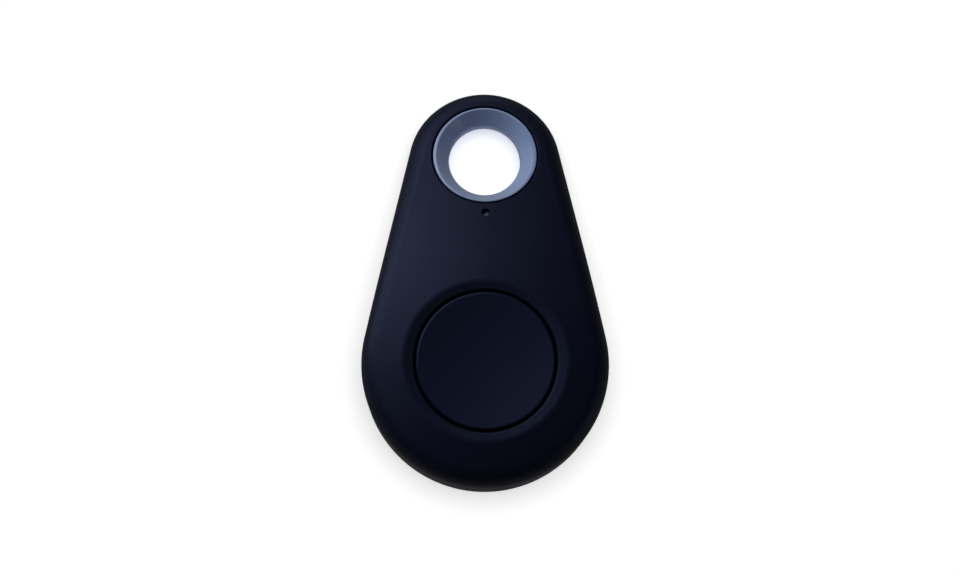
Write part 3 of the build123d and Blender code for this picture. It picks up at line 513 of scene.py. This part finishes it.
def solder_radio(solder):
    """Solder at the pads along the radio chip's four edges."""
    [(low, high)] = solids("radio_chip")
    centre = (low + high) / 2
    half = (high.x - low.x) / 2
    for quarter in range(4):
        outward = Vector((cos(quarter * pi / 2), sin(quarter * pi / 2), 0))
        across = UP.cross(outward)
        for k in range(RADIO_PADS):
            along = (k - (RADIO_PADS - 1) / 2) * RADIO_PITCH
            foot = Vector((centre.x, centre.y, BOARD_FACE)) + outward * half + across * along
            solder_fillet(
                solder, foot, outward, across, width=0.26 * MM, reach=0.16 * MM, height=0.18 * MM
            )


def solder_crystal(solder):
    """Solder at the crystal's four pads, two at each end."""
    [(low, high)] = solids("crystal_can")
    middle_x = (low.x + high.x) / 2
    for side in (-1, 1):
        pad_x = middle_x + side * CRYSTAL_PAD_PLACE * (high.x - low.x)
        for end, end_y in ((-1, low.y), (1, high.y)):
            outward = Vector((0, end, 0))
            foot = Vector((pad_x, end_y, BOARD_FACE))
            across = UP.cross(outward)
            solder_fillet(
                solder, foot, outward, across, width=0.55 * MM, reach=0.2 * MM, height=0.22 * MM
            )


def solder_switch(solder):
    """Solder at the tip of each of the switch's feet."""
    for low, high in solids("switch_terminals"):
        side = 1 if low.x > 0 else -1
        tip = Vector((high.x if side > 0 else low.x, (low.y + high.y) / 2, BOARD_FACE))
        outward = Vector((side, 0, 0))
        across = UP.cross(outward)
        width = 0.8 * (high.y - low.y)
        solder_fillet(solder, tip, outward, across, width, reach=0.25 * MM, height=0.09 * MM)


def make_lead_solder():
    """Solder at the radio chip's edge pads, the crystal's ends and the switch's feet."""
    solder = bmesh.new()
    solder_radio(solder)
    solder_crystal(solder)
    solder_switch(solder)
    place_piece("lead_solder", solder, "housing", "tinned_steel")


# Tracks on the board, as x, y points in millimetres
FRONT_TRACKS = [
    [(-2.3, 2.2), (-0.95, 2.2)],
    [(-2.3, 3.0), (-0.95, 3.0)],
    [(-2.3, 0.8), (-1.6, 0.8), (-1.0, 0.2), (2.6, 0.2)],
    [(4.2, 1.1), (5.0, 1.1), (5.7, 1.8), (5.7, 3.0)],
    [(-6.1, -0.5), (-6.1, -2.0)],
    [(-4.4, -0.5), (-4.4, -2.0)],
    [(-2.7, -0.5), (-2.7, -2.0)],
    [(-6.1, 4.5), (-6.1, 5.4)],
    [(-4.4, 4.5), (-4.4, 5.4)],
    [(-2.7, 4.5), (-2.7, 5.4)],
    [(-1.7, 5.6), (-1.1, 5.9), (-0.8, 6.3), (-0.8, 6.8)],
    [(5.5, -3.6), (4.9, -4.2), (4.9, -7.2), (3.6, -8.5)],
    [(5.5, -2.4), (3.8, -2.4), (2.6, -1.2), (2.6, -0.4)],
    [(6.5, -1.2), (7.4, -1.2), (8.2, -2.0), (8.2, -5.4)],
    [(-6.1, -6.0), (-5.3, -6.8), (-5.3, -7.0), (-3.7, -8.6)],
    [(-7.1, -6.0), (-7.9, -5.2), (-7.9, -1.9), (-6.6, -0.6), (-6.6, -0.3)],
]
BACK_TRACKS = [
    [(-6.6, 0.55), (-6.6, -1.4), (-7.6, -2.4), (-7.6, -5.2)],
    [(-6.0, 2.25), (-4.9, 2.25), (-4.4, 1.75), (-3.9, 1.75)],
    [(-6.0, 5.65), (-5.2, 5.65), (-4.6, 6.25), (2.4, 6.25)],
    [(1.0, -4.6), (2.2, -3.4), (2.2, -1.4), (1.6, -0.8)],
    [(8.4, -5.2), (8.4, -3.4), (6.4, -1.4), (4.1, -1.4)],
    [(4.6, 1.4), (4.6, 0.4), (4.1, -0.1)],
]
VIAS = [
    (5.7, 3.3), (8.2, -5.7), (1.0, 5.2), (-7.9, -1.9), (6.9, -7.2), (-7.0, -8.6), (7.9, -8.8),
    (-1.1, -2.6), (0.4, -3.0), (3.4, -3.4), (-4.4, -4.6), (2.8, 5.6), (4.2, 4.4),
]
TRACK_WIDTH = 0.22 * MM
TRACK_RISE = 0.02 * MM
GROUND_R = 12.7 * MM
GROUND_ARCS = ((190, 262), (278, 350))  # in degrees round the button's centre, clear of the stake
GROUND_STEP = 3  # in degrees
VIA_R = 0.28 * MM
VIA_HOLE_R = 0.13 * MM


def make_tracks():
    """Tracks under the solder mask and a ground ring near the edge, on both faces, and the vias between."""
    switch_low, switch_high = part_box("switch_base")
    centre_y = (switch_low.y + switch_high.y) / 2
    for name, tracks, face, out in (
        ("front_tracks", FRONT_TRACKS, BOARD_FACE, 1),
        ("back_tracks", BACK_TRACKS, BOARD_BACK, -1),
    ):
        maker = bmesh.new()
        low, high = sorted((face - out * SINK, face + out * TRACK_RISE))
        for track in tracks:
            ribbon(maker, [(x * MM, y * MM) for x, y in track], TRACK_WIDTH, low, high)
        for first, last in GROUND_ARCS:
            turn = [radians(angle) for angle in range(first, last + 1, GROUND_STEP)]
            arc = [(GROUND_R * cos(a), centre_y + GROUND_R * sin(a)) for a in turn]
            ribbon(maker, arc, 2 * TRACK_WIDTH, low, high)
        place_piece(name, maker, "housing", "board_laminate", MASK_OVER_COPPER)
    vias = bmesh.new()
    for x, y in VIAS:
        foot = Vector((x * MM, y * MM, BOARD_FACE - SINK))
        eyelet(vias, foot, VIA_R, VIA_HOLE_R, height=SINK + TRACK_RISE)
    place_piece("vias", vias, "housing", "gold_plating")


# ---------------------------------------------------- true forms of the coil, contacts and snap dome

WIRE_D = 0.14 * MM
WIRE_FILL = 0.96  # the modelled wire's thickness, as a share of the room for one turn
WINDING_R = 0.94 * MM  # the inside of the winding, just clear of the pole
WINDING_STEPS = 28  # in one turn
WIRE_SIDES = 6

NEGATIVE_SHEET = 0.15 * MM
NEGATIVE_FOOT = 2.5 * MM  # the length soldered to the board
NEGATIVE_BEND_R = 1.2 * MM
NEGATIVE_GAP = 0.045 * MM  # over the cell, so that the spring never reaches into it
TIP_LENGTH = 1.4 * MM  # the free end, turned up from the cell
TIP_RISE = 0.28 * MM

POSITIVE_SHEET = 0.18 * MM
POSITIVE_ANGLES = (radians(30), radians(150))  # round the cell's centre
POSITIVE_WIDTH = 3.55 * MM
POSITIVE_BEND_R = 0.35 * MM
POSITIVE_GAP = 0.07 * MM  # between the blade and the cell's side
POSITIVE_FOOT = 1.85 * MM  # the length soldered to the board
FLARE_HEIGHT = 0.45 * MM  # the lower end bends out from this height, to let the cell in
FLARE_OUT = 0.33 * MM
FLARE_END = 0.06 * MM  # how far the flare stops above the plain contact's end

BROKEN_EDGE = 0.3  # of the sheet's thickness, in from each cut edge of a contact

DOME_SHEET = 0.07 * MM
DOME_CROWN = 0.92  # of the radius: the flat rim is the rest
DOME_STEPS = 16
DOME_SIDES = 40


def make_winding():
    """The sounder's coil: layers of fine wire wound round the pole, in place of the plain ring."""
    low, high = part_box("sounder_coil")
    centre = (low + high) / 2
    outer_r = (high.x - low.x) / 2
    layers = int((outer_r - WINDING_R) / WIRE_D)
    turns = int((high.z - low.z) / WIRE_D) - 1
    path = []
    for layer in range(layers):
        radius = WINDING_R + WIRE_D * (layer + 0.5)
        for k in range(turns * WINDING_STEPS + 1):
            share = k / (turns * WINDING_STEPS)
            height = share if layer % 2 == 0 else 1 - share
            angle = 2 * pi * k / WINDING_STEPS
            z = low.z + WIRE_D / 2 + height * (high.z - low.z - WIRE_D)
            path.append(Vector((centre.x + radius * cos(angle), centre.y + radius * sin(angle), z)))
    wire_r = WIRE_FILL * WIRE_D / 2
    turn = [2 * pi * k / WIRE_SIDES for k in range(WIRE_SIDES)]
    sections = []
    for i, point in enumerate(path):
        ahead = ahead_at(path, i)
        outward = ahead.cross(UP).normalized()
        upward = outward.cross(ahead)
        sections.append([point + (outward * cos(a) + upward * sin(a)) * wire_r for a in turn])
    maker = bmesh.new()
    solid_between(maker, sections)
    piece = place_piece("sounder_winding", maker, "housing", "copper_wire")
    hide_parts("sounder_coil")


def rounded_path(points, radius):
    """A path through points with each inner corner turned by a curve of about this radius."""
    steps = 8
    path = [points[0]]
    for before, corner, after in zip(points, points[1:], points[2:]):
        to_before = (before - corner).normalized()
        to_after = (after - corner).normalized()
        half = to_before.angle(to_after) / 2
        shorter = min((before - corner).length, (after - corner).length)
        trim = min(radius / tan(half), 0.45 * shorter)  # two curves on one leg stay apart
        start = corner + to_before * trim
        end = corner + to_after * trim
        for k in range(steps + 1):
            t = k / steps
            path.append(start * (1 - t) ** 2 + corner * 2 * t * (1 - t) + end * t**2)
    path.append(points[-1])
    return path


def bent_sheet(maker, points, side, width, sheet, radius):
    """Sheet metal with broken edges, bent along a path; side is the level direction across it."""
    path = rounded_path(points, radius)
    half = side * width / 2
    edge = side * (width / 2 - BROKEN_EDGE * sheet)
    sections = []
    for i, point in enumerate(path):
        through = ahead_at(path, i).cross(side).normalized() * sheet / 2
        corners = [half + through / 2, edge + through, -edge + through, -half + through / 2]
        corners += [-half - through / 2, -edge - through, edge - through, half - through / 2]
        sections.append([point + corner for corner in corners])
    solid_between(maker, sections)


def make_negative_spring():
    """The tongue under the board that presses on the cell's cap, with true bends."""
    low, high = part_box("negative_contact")
    cell_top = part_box("cell_cap")[1].z
    top = high.z - NEGATIVE_SHEET / 2
    touch = cell_top + NEGATIVE_GAP + NEGATIVE_SHEET / 2
    tongue = [
        Vector((0, high.y, top)),
        Vector((0, high.y - NEGATIVE_FOOT, top)),
        Vector((0, low.y + TIP_LENGTH, touch)),
        Vector((0, low.y, touch + TIP_RISE)),
    ]
    maker = bmesh.new()
    side = Vector((1, 0, 0))
    bent_sheet(maker, tongue, side, high.x - low.x, NEGATIVE_SHEET, NEGATIVE_BEND_R)
    piece = place_piece("negative_spring", maker, "housing", "spring_steel")
    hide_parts("negative_contact")


def make_positive_springs():
    """The two blades at the cell's side, with true bends."""
    cell_low, cell_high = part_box("cell_can")
    centre = (cell_low + cell_high) / 2
    cell_r = (cell_high.x - cell_low.x) / 2
    low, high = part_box("positive_contacts")
    blade_r = cell_r + POSITIVE_GAP + POSITIVE_SHEET / 2
    top = UP * (high.z - POSITIVE_SHEET / 2)
    maker = bmesh.new()
    for angle in POSITIVE_ANGLES:
        outward = Vector((cos(angle), sin(angle), 0))
        at = Vector((centre.x, centre.y, 0)) + outward * blade_r
        blade = [
            at + outward * POSITIVE_FOOT + top,
            at + top,
            at + UP * (low.z + FLARE_HEIGHT),
            at + outward * FLARE_OUT + UP * (low.z + FLARE_END),
        ]
        bent_sheet(maker, blade, UP.cross(outward), POSITIVE_WIDTH, POSITIVE_SHEET, POSITIVE_BEND_R)
    piece = place_piece("positive_springs", maker, "housing", "spring_steel")
    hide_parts("positive_contacts")


def make_dome():
    """The switch's snap dome with its flat rim and raised crown, pressed from thin sheet."""
    low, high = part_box("switch_dome")
    centre = (low + high) / 2
    outer_r = (high.x - low.x) / 2
    profile = []
    for k in range(DOME_STEPS + 1):
        share = k / DOME_STEPS
        swell = 0.5 + 0.5 * cos(pi * min(1, share / DOME_CROWN))
        profile.append((share * outer_r, low.z + swell * (high.z - low.z - DOME_SHEET)))
    profile += [(r, z + DOME_SHEET) for r, z in reversed(profile)]
    maker = bmesh.new()
    turn = [2 * pi * k / DOME_SIDES for k in range(DOME_SIDES)]
    loops = []
    for r, z in profile[1:-1]:
        loops.append([maker.verts.new((centre.x + r * cos(a), centre.y + r * sin(a), z)) for a in turn])
    for inner, outer in zip(loops, loops[1:]):
        join_loops(maker, inner, outer)
    # The first and last points of the profile are on the axis
    for loop, z in ((loops[0], profile[0][1]), (loops[-1], profile[-1][1])):
        tip = maker.verts.new((centre.x, centre.y, z))
        for k in range(DOME_SIDES):
            maker.faces.new((tip, loop[k], loop[(k + 1) % DOME_SIDES]))
    piece = place_piece("snap_dome", maker, "housing", "spring_steel")
    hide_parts("switch_dome")
    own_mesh(piece)


make_chip_ends()
make_lead_solder()
make_tracks()
make_winding()
make_negative_spring()
make_positive_springs()
make_dome()

make_camera()
make_stage()

bpy.context.view_layer.update()
